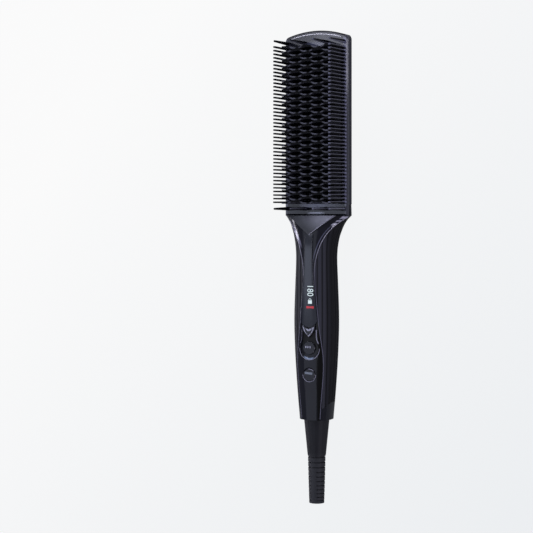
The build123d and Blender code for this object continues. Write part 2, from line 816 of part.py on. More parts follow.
# Head frame: gloss front with a bevelled rim and a window for the combs and fins
with BuildPart() as head_frame:
    add(upright(head_plan.sketch, -PARTING, FRAME_TOP))
    chamfer(head_frame.faces().sort_by(Axis.Z)[-1].edges(), FRAME_BEVEL)
    with BuildSketch(level(-PARTING)):
        with Locations((0, window_mid)):
            Rectangle(2 * window_half_w, window_len)
    extrude(amount=PARTING + FRAME_TOP, mode=Mode.SUBTRACT)
finish(head_frame.part, "head_frame")

# Heater carrier: plate that the heater stack lies on, screwed to the cover's posts
sensor_cut = 2 * CLEAR
with BuildPart() as heater_carrier:
    with BuildSketch(level(carrier_z)):
        with Locations((0, window_mid)):
            Rectangle(2 * COMB_X, window_len)
        with Locations(*carrier_posts):
            RegularPolygon(SCREW_HOLE_R, SMALL_SIDES, mode=Mode.SUBTRACT)
        with Locations((0, at(FUSE_AT))):
            Rectangle(2 * FUSE_R + sensor_cut, FUSE_LEN + sensor_cut, mode=Mode.SUBTRACT)
        with Locations((0, at(SENSOR_AT))):
            Rectangle(2 * SENSOR_R + sensor_cut, SENSOR_LEN + sensor_cut, mode=Mode.SUBTRACT)
        with Locations((-BAR_X, at(LEAD_RISE)), (BAR_X, at(LEAD_RISE))):
            RegularPolygon(LEAD_R + SEAT, SMALL_SIDES, mode=Mode.SUBTRACT)
    extrude(amount=CARRIER_T)
finish(heater_carrier.part, "heater_carrier")

finish(screws(carrier_posts, mica_z, CARRIER_T + SCREW_LEN), "carrier_screws")

# Insulation sheet: mica under the heater bars, cut out round the fuse and the sensor
with BuildPart() as insulation_sheet:
    with BuildSketch(level(mica_z)):
        with Locations((0, window_mid)):
            Rectangle(2 * (BAR_X + BAR_W / 2 + SEAT), BAR_LEN)
        with Locations((0, at(FUSE_AT))):
            Rectangle(2 * FUSE_R + sensor_cut, FUSE_LEN + sensor_cut, mode=Mode.SUBTRACT)
        with Locations((0, at(SENSOR_AT))):
            Rectangle(2 * SENSOR_R + sensor_cut, SENSOR_LEN + sensor_cut, mode=Mode.SUBTRACT)
    extrude(amount=MICA_T)
finish(insulation_sheet.part, "insulation_sheet")

# Heater bars: two flat ceramic heaters pressed under the fins
with BuildPart() as heater_bars:
    with BuildSketch(level(-BAR_T)):
        with Locations((-BAR_X, window_mid), (BAR_X, window_mid)):
            Rectangle(BAR_W, BAR_LEN)
    extrude(amount=BAR_T)
finish(heater_bars.part, "heater_bars")

# Thermal fuse and temperature sensor, lying against the base between the bars
with BuildPart() as thermal_fuse:
    with Locations((0, at(FUSE_AT), AXIS_Z - FUSE_R)):
        Cylinder(FUSE_R, FUSE_LEN, rotation=(90, 0, 0))
finish(thermal_fuse.part, "thermal_fuse")

with BuildPart() as thermistor:
    with Locations((0, at(SENSOR_AT), AXIS_Z - SENSOR_R)):
        Cylinder(SENSOR_R, SENSOR_LEN, rotation=(90, 0, 0))
finish(thermistor.part, "thermistor")


def fin_outline(side):
    """Wavy fin seen from above: straight and slanted stretches in turn, side +1 or -1."""
    half_wave = FIN_WAVE / 2
    line = []
    crest = -math.ceil(FIN_HALF_W / half_wave)
    while crest * half_wave <= FIN_HALF_W + half_wave:
        sway = FIN_AMP * (1 if crest % 2 else -1) * side
        for x in (-FIN_FLAT / 2, FIN_FLAT / 2):
            line.append(((crest + x) * half_wave, sway))
        crest += 1
    back = [(x, y + FIN_T) for x, y in reversed(line)]
    return [(x, y - FIN_T / 2) for x, y in line + back]


# Heater plate: base with one wavy fin for each tooth, every other fin mirrored so that the
# gaps between them make staggered cells
with BuildPart() as heater_plate:
    with BuildSketch(level(0)):
        with Locations((0, window_mid)):
            Rectangle(2 * FIN_HALF_W, window_len - 2 * CLEAR)
    extrude(amount=BASE_T)
    for side, first in ((1, 0), (-1, 1)):
        with BuildSketch(level(BASE_T), mode=Mode.PRIVATE) as fins:
            with Locations(*[(0, at(FIRST_TOOTH + i * PITCH)) for i in range(first, TEETH, 2)]):
                Polygon(*fin_outline(side), align=None)
            with Locations((0, window_mid)):
                Rectangle(2 * FIN_HALF_W, window_len, mode=Mode.INTERSECT)
        extrude(fins.sketch, amount=FIN_TOP - BASE_T)
finish(heater_plate.part, "heater_plate")

# Combs: a rail on the carrier with one tapered tooth for each fin
tooth_h = TOOTH_TOP - FRAME_TOP
for name, side in (("comb_left", -1), ("comb_right", 1)):
    with BuildPart() as comb:
        with BuildSketch(level(mica_z)):
            with Locations((side * COMB_X, window_mid)):
                Rectangle(RAIL_W, window_len - 2 * CLEAR)
        extrude(amount=FRAME_TOP - mica_z)
        with BuildSketch(level(FRAME_TOP)):
            with Locations(*[(side * COMB_X, at(FIRST_TOOTH + i * PITCH)) for i in range(TEETH)]):
                Rectangle(*TOOTH_BASE)
        extrude(amount=tooth_h, taper=math.degrees(math.atan(TOOTH_DRAFT / tooth_h)))
    finish(comb.part, name)

# End pins: four tapered pins at each end of the fins
for name, row in (("end_pins_low", PIN_LOW_AT), ("end_pins_top", PIN_TOP_AT)):
    with BuildPart() as pins:
        with BuildSketch(level(FRAME_TOP)):
            with Locations(*[(x, at(row)) for x in (-COMB_X, -PIN_INNER_X, PIN_INNER_X, COMB_X)]):
                RegularPolygon(PIN_R, PIN_SIDES)
        extrude(amount=tooth_h, taper=math.degrees(math.atan((PIN_R - PIN_TIP_R) / tooth_h)))
        chamfer(pins.faces().filter_by(Axis.Z).group_by(Axis.Z)[-1].edges(), PIN_TIP_R / 2)
    finish(pins.part, name)

# Leads from the power board through the neck and up to the heater bars
lead_z = carrier_z - 2 * LEAD_R
with BuildPart() as heater_leads:
    for side in (-1, 1):
        with BuildLine():
            route = Polyline(
                (side * LEAD_X, at(POWER_BOARD_TO + CLEAR), AXIS_Z + power_top - LEAD_R),
                (side * LEAD_X, at(LEAD_NECK), AXIS_Z + lead_z),
                (side * BAR_X, at(LEAD_RISE), AXIS_Z + lead_z),
                (side * BAR_X, at(LEAD_RISE), AXIS_Z - BAR_T / 2),
            )
        with BuildSketch(Plane(origin=route @ 0, z_dir=route % 0)):
            RegularPolygon(LEAD_R, SMALL_SIDES)
        sweep(path=route, transition=Transition.RIGHT)
finish(heater_leads.part, "heater_leads")

# Strain relief: spool inside the end wall, neck through it, sleeve and ribbed tail outside
spool_from = -TAIL_WALL - SEAT - SPOOL_FLANGE_T - SPOOL_LEN
flange_from = -TAIL_WALL - SEAT - SPOOL_FLANGE_T
tail_axis = Axis((0, at(0), AXIS_Z), (0, -1, 0))
side_view = Plane(origin=(0, at(0), AXIS_Z), x_dir=(0, -1, 0), z_dir=(-1, 0, 0))
shoulder_r = SLEEVE_END_R - SEAT

# Ribs of the tail: where each starts, its pitch and its radius, all getting smaller to the end
rib_shares = [1 - RIB_SHRINK * i / RIBS for i in range(RIBS)]
rib_pitch = (RELIEF_LEN - SLEEVE_LEN - GROOVE_W) / sum(rib_shares)
ribs = [
    (
        SLEEVE_LEN + GROOVE_W + rib_pitch * sum(rib_shares[:i]),
        rib_pitch * share,
        shoulder_r - (shoulder_r - TAIL_R) * (i + 1) / RIBS,
    )
    for i, share in enumerate(rib_shares)
]
with BuildPart() as strain_relief:
    with BuildSketch(side_view):
        with BuildLine():
            Polyline(
                (spool_from, 0),
                (spool_from, SPOOL_R),
                (flange_from, SPOOL_R),
                (flange_from, SPOOL_FLANGE_R),
                (-TAIL_WALL - SEAT, SPOOL_FLANGE_R),
                (-TAIL_WALL - SEAT, NECK_R),
                (SEAT, NECK_R),
                (SEAT, 0),
                close=True,
            )
        make_face()
    revolve(axis=tail_axis)
    with BuildSketch(cross(-SEAT)):
        RegularPolygon(RELIEF_R, RELIEF_SIDES)
    sleeve_len = SLEEVE_LEN - SEAT
    extrude(amount=sleeve_len, taper=math.degrees(math.atan((RELIEF_R - SLEEVE_END_R) / sleeve_len)))
    for reach, pitch, radius in [(SLEEVE_LEN, GROOVE_W, shoulder_r)] + ribs:
        with BuildSketch(cross(-reach)):
            RegularPolygon(radius, RELIEF_SIDES)
        extrude(amount=pitch)
    for i, (reach, pitch, radius) in enumerate(ribs):
        with BuildSketch(cross(-reach)):
            Circle(RELIEF_R)
            RegularPolygon(radius - RIB_DEPTH, GROOVE_SIDES, mode=Mode.SUBTRACT)
            if i >= FULL_GROOVES:
                Rectangle(WEB_W, 2 * RELIEF_R, mode=Mode.SUBTRACT)
        extrude(amount=pitch * GROOVE_SHARE, mode=Mode.SUBTRACT)
    with BuildSketch(cross(-spool_from)):
        Circle(CORD_BORE_R)
    extrude(amount=RELIEF_LEN - spool_from, mode=Mode.SUBTRACT)
finish(strain_relief.part, "strain_relief")

# Slip rings: two brass rings on the spool
ring_places = [spool_from + RING_W, spool_from + 3 * RING_W]
with BuildPart() as slip_rings:
    for place in ring_places:
        with BuildSketch(cross(-place)):
            Circle(SPOOL_R + RING_T)
            Circle(SPOOL_R, mode=Mode.SUBTRACT)
        extrude(amount=RING_W)
finish(slip_rings.part, "slip_rings")

# Swivel carrier: cradle under the spool, shaped to the inside of the grip
cradle_r = SPOOL_R + RING_T + SEAT
with BuildPart() as swivel_carrier:
    with BuildSketch(cross(-spool_from)):
        Rectangle(2 * CRADLE_HALF_W, HEAD_BACK, align=(Align.CENTER, Align.MAX))
        Circle(cradle_r, mode=Mode.SUBTRACT)
    extrude(amount=SPOOL_LEN - SEAT)
    add(seat_body, mode=Mode.INTERSECT)
finish(swivel_carrier.part, "swivel_carrier")

# Brush springs: bent contact strips that stand on the cradle over the rings
with BuildPart() as brush_springs:
    for place in ring_places:
        with BuildSketch(cross(-place)):
            Rectangle(2 * (cradle_r + SEAT + STRIP_T), cradle_r + STRIP_T, align=(Align.CENTER, Align.MIN))
            Rectangle(
                2 * (cradle_r + SEAT), cradle_r, align=(Align.CENTER, Align.MIN), mode=Mode.SUBTRACT
            )
        extrude(amount=RING_W)
finish(brush_springs.part, "brush_springs")

# Leads from the contact strips' cradle to the power board
with BuildPart() as supply_leads:
    for side in (-1, 1):
        with BuildLine():
            route = Polyline(
                (side * LEAD_X, at(-spool_from + CLEAR), AXIS_Z - cradle_r),
                (side * LEAD_X, at(-spool_from + LEAD_START), AXIS_Z - cradle_r),
                (side * LEAD_X, at(POWER_BOARD_FROM - CLEAR), AXIS_Z + power_top - LEAD_R),
            )
        with BuildSketch(Plane(origin=route @ 0, z_dir=route % 0)):
            RegularPolygon(LEAD_R, SMALL_SIDES)
        sweep(path=route, transition=Transition.RIGHT)
finish(supply_leads.part, "supply_leads")
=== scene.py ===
import math

import bmesh
import bpy
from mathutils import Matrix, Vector


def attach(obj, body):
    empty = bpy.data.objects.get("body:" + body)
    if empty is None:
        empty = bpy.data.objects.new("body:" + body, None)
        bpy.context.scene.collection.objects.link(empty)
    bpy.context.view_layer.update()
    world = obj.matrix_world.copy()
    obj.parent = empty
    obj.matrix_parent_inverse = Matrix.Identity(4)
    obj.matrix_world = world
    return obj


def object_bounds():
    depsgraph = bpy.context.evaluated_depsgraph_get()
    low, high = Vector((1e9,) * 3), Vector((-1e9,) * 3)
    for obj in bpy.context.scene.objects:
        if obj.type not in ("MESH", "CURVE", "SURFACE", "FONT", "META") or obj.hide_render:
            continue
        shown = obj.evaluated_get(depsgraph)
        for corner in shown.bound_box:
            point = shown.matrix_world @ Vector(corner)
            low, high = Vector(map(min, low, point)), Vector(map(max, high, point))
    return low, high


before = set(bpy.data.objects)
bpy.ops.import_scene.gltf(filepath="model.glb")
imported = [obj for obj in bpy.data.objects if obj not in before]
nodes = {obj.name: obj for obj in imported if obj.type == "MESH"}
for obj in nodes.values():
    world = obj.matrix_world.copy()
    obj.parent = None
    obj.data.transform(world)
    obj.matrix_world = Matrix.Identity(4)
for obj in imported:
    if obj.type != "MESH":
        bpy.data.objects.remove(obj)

cad_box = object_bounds()
scene = bpy.context.scene
scene.view_settings.view_transform = "Standard"


# The camera looks down on the tool, which lies on its back, from a little to the right of it.
# The tool stands right of the middle of the frame, so that its other side has room on the left.
VIEW_TURN = math.radians(28)
CAMERA_AWAY = 1.12
FRAME_WIDTH = 0.4126  # what the picture spans at the handle
HANDLE_AXIS_Z = 0.017
AXIS_RIGHT_OF_MIDDLE = 0.0389
VIEW_CENTRE_Y = 0.047  # the camera stands over the lower end of the head
look_right = Vector((math.cos(VIEW_TURN), 0, -math.sin(VIEW_TURN)))
look_back = Vector((math.sin(VIEW_TURN), 0, math.cos(VIEW_TURN)))
camera_data = bpy.data.cameras.new("camera")
camera_data.sensor_width = 36
camera_data.lens = camera_data.sensor_width * CAMERA_AWAY / FRAME_WIDTH
camera_data.shift_y = -VIEW_CENTRE_Y / FRAME_WIDTH
camera = bpy.data.objects.new("camera", camera_data)
scene.collection.objects.link(camera)
aim = Vector((0, VIEW_CENTRE_Y, HANDLE_AXIS_Z)) - AXIS_RIGHT_OF_MIDDLE * look_right
camera.location = aim + CAMERA_AWAY * look_back
camera.rotation_euler = (0, VIEW_TURN, 0)
scene.camera = camera


# Studio light: a large soft box over the left side and one past the tip light the whole tool.
# The small ones stand where the polished plastic mirrors them: along the display strip, in the
# recess of the keys, on the arms round the neck and along the right edges.
ROOM_COLOUR = (0.9, 0.92, 1.0, 1)
ROOM_STRENGTH = 0.14
world = bpy.data.worlds.new("room")
scene.world = world
world.use_nodes = True
world.node_tree.nodes["Background"].inputs["Color"].default_value = ROOM_COLOUR
world.node_tree.nodes["Background"].inputs["Strength"].default_value = ROOM_STRENGTH


def soft_box(name, place, target, width, height, watts, colour):
    """Rectangular lamp at place that faces target."""
    lamp = bpy.data.lights.new(name, "AREA")
    lamp.shape = "RECTANGLE"
    lamp.size = width
    lamp.size_y = height
    lamp.energy = watts
    lamp.color = colour
    stand = bpy.data.objects.new(name, lamp)
    stand.location = place
    stand.rotation_euler = (Vector(target) - Vector(place)).to_track_quat("-Z", "Y").to_euler()
    scene.collection.objects.link(stand)


soft_box("sky_box", (-0.5, -0.1, 1.3), (0, 0, 0), 1.5, 1.1, 2.6, (0.78, 0.84, 1.0))
soft_box("mirror_box", (-0.53, -0.032, 1.08), (0, -0.02, 0), 0.186, 0.4, 0.3, (0.72, 0.79, 1.0))
soft_box("ramp_box", (-0.43, 0.3, 1.02), (0.02, 0, 0.03), 0.1, 0.15, 0.19, (0.82, 0.84, 1.0))
soft_box("neck_box", (-0.56, 0.56, 0.98), (0, 0.03, 0.02), 0.3, 0.3, 0.9, (0.78, 0.85, 1.0))
soft_box("left_low_box", (-0.8, -0.02, 0.15), (0, 0.02, 0.03), 0.2, 0.24, 1.5, (0.9, 0.88, 1.0))
soft_box("right_box", (0.95, -0.155, 0.5), (0, 0.03, 0.02), 0.2, 0.15, 0.8, (0.86, 0.84, 1.0))
soft_box(
    "right_head_box", (1.0, 0.33, 0.48), (0.02, 0.17, 0.02), 0.12, 0.12, 0.22, (0.84, 0.83, 1.0)
)
soft_box(
    "right_tail_box", (0.6, -0.85, 0.27), (0.02, 0.04, 0.02), 0.2, 0.15, 0.9, (0.86, 0.84, 1.0)
)
soft_box("right_strip", (0.95, 0.05, 0.34), (0, 0, 0.02), 0.8, 0.06, 0.25, (0.86, 0.86, 1.0))
soft_box("tip_box", (0.0, 0.95, 0.6), (0, 0.1, 0), 0.7, 0.25, 3.2, (0.86, 0.88, 1.0))
soft_box("tip_low_box", (-0.55, 1.1, 0.1), (0, 0.18, 0.02), 0.5, 0.12, 1.2, (0.9, 0.88, 1.0))


# Table: a wide sheet of matt paper under the tool, nearly white and a little greyer to its right.
# The camera sees it glow like a lit backdrop, and it still takes the soft shadow of the tool.
TABLE_HALF = 12
TABLE_GAP = 0.0002  # below the tool
PAPER_SHARE = 0.45  # of the table's colour that the paper has as it lights the tool
GLOW = 1.02
SEEN_GLOW = 0.93  # share of the glow in what the camera sees
SEEN_IN_SHINE = 0.13  # share of that again in what the polished plastic mirrors


class Wire:
    """Output of a shader node, on which the maths of a material is written."""

    def __init__(self, look, socket):
        self.look = look
        self.socket = socket

    def __add__(self, other):
        return self.look.maths("ADD", self, other)

    def __sub__(self, other):
        return self.look.maths("SUBTRACT", self, other)

    def __rsub__(self, other):
        return self.look.maths("SUBTRACT", other, self)

    def __mul__(self, other):
        return self.look.maths("MULTIPLY", self, other)

    def __truediv__(self, other):
        return self.look.maths("DIVIDE", self, other)

    def __rtruediv__(self, other):
        return self.look.maths("DIVIDE", other, self)

    def __abs__(self):
        return self.look.maths("ABSOLUTE", self)

    __radd__ = __add__
    __rmul__ = __mul__


class Look:
    """A material and its node tree."""

    def __init__(self, name):
        self.material = bpy.data.materials.new(name)
        self.material.use_nodes = True
        self.tree = self.material.node_tree
        self.tree.nodes.clear()
        self.place = self.node("TexCoord", output=3)  # in metres, in the shared frame

    def node(self, kind, settings=None, sockets=None, output=0):
        """Adds a node: its settings first, a ramp's stops among them, then its sockets."""
        made = self.tree.nodes.new("ShaderNode" + kind)
        for name, value in (settings or {}).items():
            if name != "stops":
                setattr(made, name, value)
                continue
            for index, (place, colour) in enumerate(value):
                if index < 2:
                    stop = made.color_ramp.elements[index]
                    stop.position = place
                else:
                    stop = made.color_ramp.elements.new(place)
                stop.color = colour
        for name, value in (sockets or {}).items():
            if isinstance(value, Wire):
                self.tree.links.new(value.socket, made.inputs[name])
            else:
                made.inputs[name].default_value = value
        return Wire(self, made.outputs[output]) if made.outputs else None

    def maths(self, operation, *values):
        """Number worked out from one or two others."""
        return self.node("Math", {"operation": operation}, dict(enumerate(values)))

    def axis(self, number):
        """Place along x, y or z."""
        return self.node("SeparateXYZ", {}, {0: self.place}, number)

    def noise(self, scale, detail, roughness=0.5):
        """Soft cloud of values round a half."""
        sockets = {"Scale": scale, "Detail": detail, "Roughness": roughness}
        return self.node("TexNoise", {}, {"Vector": self.place, **sockets})

    def mix(self, factor, low, high):
        """Colour between low and high."""
        return self.node("Mix", {"data_type": "RGBA"}, {0: factor, 6: low, 7: high}, 2)

    def span(self, value, low, high, start=0.0, end=1.0):
        """Value taken from the range low to high into start to end, and held there."""
        return self.node("MapRange", {}, {0: value, 1: low, 2: high, 3: start, 4: end})

    def end(self, shader):
        """Makes the shader the material's surface."""
        self.node("OutputMaterial", {}, {"Surface": shader})
        return self.material

    def skin(self, sockets):
        """Makes a surface of one principled shader with these sockets."""
        return self.end(self.node("BsdfPrincipled", {}, sockets))


def rgb(red, green, blue):
    """Colour as a Blender socket takes it, from the 0 to 255 values that a screen shows."""
    def linear(value):
        value /= 255
        return value / 12.92 if value <= 0.04045 else ((value + 0.055) / 1.055) ** 2.4

    return (linear(red), linear(green), linear(blue), 1)


def table_paper():
    """Pale paper that the camera sees glow and that lights the tool from below more weakly."""
    look = Look("pale_table")
    fall = look.span(look.axis(0) - look.axis(1), -0.35, 0.5)
    colour = look.mix(fall, rgb(254, 254, 254), rgb(237, 240, 243))
    paper_colour = look.mix(PAPER_SHARE, (0.0, 0.0, 0.0, 1), colour)
    paper = look.node("BsdfDiffuse", {}, {"Color": paper_colour})
    glow = look.node("Emission", {}, {"Color": colour, "Strength": GLOW})
    camera_ray = look.node("LightPath")
    glossy_ray = look.node("LightPath", output=3)
    seen = (camera_ray + SEEN_IN_SHINE * glossy_ray) * SEEN_GLOW
    return look.end(look.node("MixShader", {}, {0: seen, 1: paper, 2: glow}))


table_mesh = bpy.data.meshes.new("table")
table_corners = [(-1, -1), (1, -1), (1, 1), (-1, 1)]
table_mesh.from_pydata(
    [(x * TABLE_HALF, y * TABLE_HALF, 0) for x, y in table_corners], [], [(0, 1, 2, 3)]
)
table_mesh.materials.append(table_paper())
table = bpy.data.objects.new("table", table_mesh)
scene.collection.objects.link(table)
table.location.z = cad_box[0][2] - TABLE_GAP


# Grip shell and back of the head: soft-touch black plastic, moulded with reeds along the hand.
# The grip carries the tail band and the front panel, and the cover closes the heated head.
REED_SHADE = (0.24, 0.46)  # of a reed's width from its middle, where painted shade darkens its flank
# Painted shade down the reeds' sides and on their front left.
SHADED_REED = (0.009, 0.009, 0.012, 1)
SIDE_SLOPE = (0.4, 1.05)  # rise over distance from the axis, up to which sides get painted shade
LEFT_SHADE = 0.62  # share of that painted shade on the front left of the axis
JOIN_DISTANCE = 0.000002  # corners of a node that lie closer are one
GRIP_REEDS = 26
GRIP_SINK = 0.0032  # of the middle that the reeds run round, at the neck
GRIP_SINK_FROM, GRIP_SINK_OVER = 0.0125, 0.027  # where it starts along the tool, and its length
BACK_REEDS = 17
BACK_CENTRE_Z = 0.03744
BACK_HALF_ANGLE = 0.8015


def smooth_over(name, angle):
    """Joins a node's faces and shades them round, except where they meet at more than angle."""
    tree = bpy.data.node_groups.get(f"round_{angle}")
    if not tree:
        tree = bpy.data.node_groups.new(f"round_{angle}", "GeometryNodeTree")
        tree.interface.new_socket("Mesh", in_out="INPUT", socket_type="NodeSocketGeometry")
        tree.interface.new_socket("Mesh", in_out="OUTPUT", socket_type="NodeSocketGeometry")
        start = tree.nodes.new("NodeGroupInput")
        join = tree.nodes.new("GeometryNodeMergeByDistance")
        join.inputs["Distance"].default_value = JOIN_DISTANCE
        bend = tree.nodes.new("GeometryNodeInputMeshEdgeAngle")
        sharp = tree.nodes.new("FunctionNodeCompare")
        sharp.inputs[1].default_value = math.radians(angle)
        every = tree.nodes.new("GeometryNodeSetShadeSmooth")
        edges = tree.nodes.new("GeometryNodeSetShadeSmooth")
        edges.domain = "EDGE"
        edges.inputs["Shade Smooth"].default_value = False
        end = tree.nodes.new("NodeGroupOutput")
        tree.links.new(start.outputs[0], join.inputs[0])
        tree.links.new(join.outputs[0], every.inputs[0])
        tree.links.new(every.outputs[0], edges.inputs[0])
        tree.links.new(bend.outputs[0], sharp.inputs[0])
        tree.links.new(sharp.outputs[0], edges.inputs["Selection"])
        tree.links.new(edges.outputs[0], end.inputs[0])
    nodes[name].modifiers.new("round", "NODES").node_group = tree


def wear(name, material, angle=30):
    """Gives a node its finish."""
    for slot in nodes[name].material_slots:
        slot.material = material
    smooth_over(name, angle)


def off_whole(look, value):
    """How far a value is past the nearest whole number, from minus a half to a half."""
    return look.maths("FRACT", value + 0.5) - 0.5


def reeded_plastic(name, turn_of, side_dark=1.0):
    """Fine-grained matt plastic, painted shade in its grooves and, by side_dark, down its sides."""
    look = Look(name)
    x, y, z = (look.axis(number) for number in range(3))
    groove_shade = look.span(abs(off_whole(look, turn_of(look, x, y, z))), *REED_SHADE)
    cloud = look.noise(60.0, 3.0)
    grain = look.noise(5200.0, 2.0)
    top = look.mix(cloud, (0.050, 0.050, 0.068, 1), (0.068, 0.067, 0.090, 1))
    # Painted shade: darker on the left half and down the sides, away from the light above left.
    left = look.span(x, 0.004, -0.004, 0.0, LEFT_SHADE * side_dark)
    top = look.mix(left, top, SHADED_REED)
    slope = abs((z - HANDLE_AXIS_Z) / x)
    front = look.span(slope, *SIDE_SLOPE, 1 - side_dark, 1.0)
    top = look.mix(front, SHADED_REED, top)
    bump = look.node("Bump", {}, {"Strength": 0.25, "Distance": 0.00003, "Height": grain})
    return look.skin(
        {
            # The grooves' colour is painted shade.
            "Base Color": look.mix(groove_shade, top, (0.006, 0.006, 0.009, 1)),
            "Roughness": look.span(cloud, 0.3, 0.7, 0.46, 0.56),
            "Specular IOR Level": 0.25,
            "Normal": bump,
        }
    )


def grip_turn(look, x, y, z):
    """Reeds passed on the way round the handle, whose middle sinks towards the head."""
    share = look.maths("MAXIMUM", (y - GRIP_SINK_FROM) / GRIP_SINK_OVER, 0.0)
    height = z - (HANDLE_AXIS_Z - GRIP_SINK * (share * share))
    return look.maths("ARCTAN2", height, x) * (GRIP_REEDS / math.tau)


def back_turn(look, x, y, z):
    """Reeds passed on the way round the back of the head."""
    angle = look.maths("ARCTAN2", x, BACK_CENTRE_Z - z)
    return angle * (BACK_REEDS / 2 / BACK_HALF_ANGLE)


wear("grip_shell", reeded_plastic("reeded_grip", grip_turn), 18)
wear("head_back_cover", reeded_plastic("reeded_back", back_turn, 0.0), 18)


# Heater stack: two flat heaters in aluminium sleeves, pressed against the fins' base over a sheet
# of mica, with a fuse and a temperature sensor between them. All lie on a carrier of glass-filled
# plastic, which is screwed to posts of the back cover.


def inner_finish(name, low, high, roughness, metallic=0.0):
    """Plain cloudy finish for a piece that the shells cover."""
    look = Look(name)
    cloud = look.noise(300.0, 3.0)
    return look.skin(
        {
            "Base Color": look.mix(cloud, (*low, 1), (*high, 1)),
            "Metallic": metallic,
            "Roughness": look.span(cloud, 0.3, 0.7, roughness - 0.05, roughness + 0.05),
        }
    )


steel = inner_finish("zinc_steel", (0.5, 0.5, 0.5), (0.62, 0.62, 0.64), 0.35, 1.0)
sleeve = inner_finish("aluminium_sleeve", (0.55, 0.55, 0.56), (0.66, 0.66, 0.68), 0.4, 1.0)
mica = inner_finish("mica_flakes", (0.42, 0.36, 0.25), (0.62, 0.54, 0.4), 0.45)
glass_filled = inner_finish("glass_filled_grey", (0.09, 0.09, 0.09), (0.13, 0.13, 0.13), 0.6)
moulded = inner_finish("moulded_black", (0.03, 0.03, 0.03), (0.05, 0.05, 0.05), 0.5)
wear("heater_bars", sleeve)
wear("insulation_sheet", mica)
wear("thermal_fuse", steel)
wear("thermistor", moulded)
wear("heater_carrier", glass_filled)
wear("carrier_screws", steel)


# Boards in the handle: green lacquered boards, one under the keys and the display and one for the
# mains. Each is screwed to posts, and a row of pins in a black block joins the two.
board = inner_finish("board_lacquer", (0.012, 0.11, 0.045), (0.02, 0.16, 0.07), 0.35)
white_block = inner_finish("display_white", (0.68, 0.68, 0.64), (0.76, 0.76, 0.72), 0.5)
for name in ("control_board", "power_board"):
    wear(name, board)
for name in ("board_screws", "power_screws"):
    wear(name, steel)
for name in ("key_switches", "power_parts", "board_header"):
    wear(name, moulded)
wear("display_module", white_block)


# Leads: red silicone-skinned wires, soldered to the power board. One lot runs through the neck to
# the heater bars, the other comes from the contact strips at the tail.
lead_skin = inner_finish("silicone_red", (0.36, 0.03, 0.02), (0.46, 0.05, 0.03), 0.5)
for name in ("heater_leads", "supply_leads"):
    wear(name, lead_skin)


# Turning contact of the strain relief: brass rings on its spool, rubbed by bent brass strips that
# stand on a cradle of glass-filled plastic in the end of the grip.
brass = inner_finish("brass_strip", (0.6, 0.42, 0.18), (0.7, 0.5, 0.24), 0.3, 1.0)
for name in ("slip_rings", "brush_springs"):
    wear(name, brass)
wear("swivel_carrier", glass_filled)


# Combs and end pins: heat-proof black plastic, the teeth moulded in one with the rail that they
# stand on. The rails lie on the heater carrier, one on each side of the fins.
FIRST_TOOTH_Y = 0.0497
TOOTH_PITCH = 0.002765  # of the fins too
TOOTH_TIP_Z = (0.0415, 0.0434)  # heights of the painted highlight at the right comb's tips
TOOTH_ROOT_Z = (0.0215, 0.0190)  # heights over which a painted highlight grows towards the rail
TOOTH_LIT_SIDE = (0.02, 0.12)  # of the pitch from a tooth's middle, where painted highlight starts
# Painted shade on the left comb's teeth, painted light on the right comb's.
SHADED_LEFT_TOOTH = (0.012, 0.012, 0.017, 1)
LIT_RIGHT_TOOTH = (0.23, 0.23, 0.29, 1)


def off_tooth(look, y):
    """Distance from the middle of the nearest tooth, as a share of the pitch."""
    return off_whole(look, (y - FIRST_TOOTH_Y) / TOOTH_PITCH)


def comb_plastic():
    """Heat-proof black plastic, with painted light and shade across each tooth and at its ends."""
    look = Look("comb_plastic")
    x, y, height = (look.axis(number) for number in range(3))
    tip = look.span(height, *TOOTH_TIP_Z) * look.span(x, -0.01, 0.01)
    cloud = look.noise(400.0, 2.0)
    lit_side_highlight = look.span(off_tooth(look, y), *TOOTH_LIT_SIDE)
    root_highlight = look.span(height, *TOOTH_ROOT_Z) * lit_side_highlight
    tooth = look.mix(look.span(x, -0.02, 0.0), SHADED_LEFT_TOOTH, LIT_RIGHT_TOOTH)
    # Painted shade on the side of each tooth away from the light.
    colour = look.mix(lit_side_highlight, (0.001, 0.001, 0.002, 1), tooth)
    return look.skin(
        {
            "Base Color": look.mix(tip * 0.5 + root_highlight, colour, (0.3, 0.3, 0.42, 1)),
            "Roughness": look.span(cloud, 0.3, 0.7, 0.3, 0.4),
            "Specular IOR Level": 0.08,
        }
    )


comb_finish = comb_plastic()
for name in ("comb_left", "comb_right", "end_pins_low", "end_pins_top"):
    wear(name, comb_finish)


# Heated fins: die-cast aluminium under a dark ceramic coating, painted highlights on the crests.
# The fins wave across the head, every other one mirrored, and stand on one base over the heaters.
FIN_WAVE = 0.0186
FIN_CREST_Z = (0.03535, 0.03555)  # heights between which a fin's wall turns into its crest
GLINT_X = -0.0024  # middle of the painted highlight of a fin on the middle line
GLINT_REACH = (0.17, 0.09)  # of a wave from there, where it ends and where it is full
SECOND_GLINT = 0.344  # of a wave from there to the middle of the shorter painted highlight
SECOND_REACH = (0.09, 0.04)


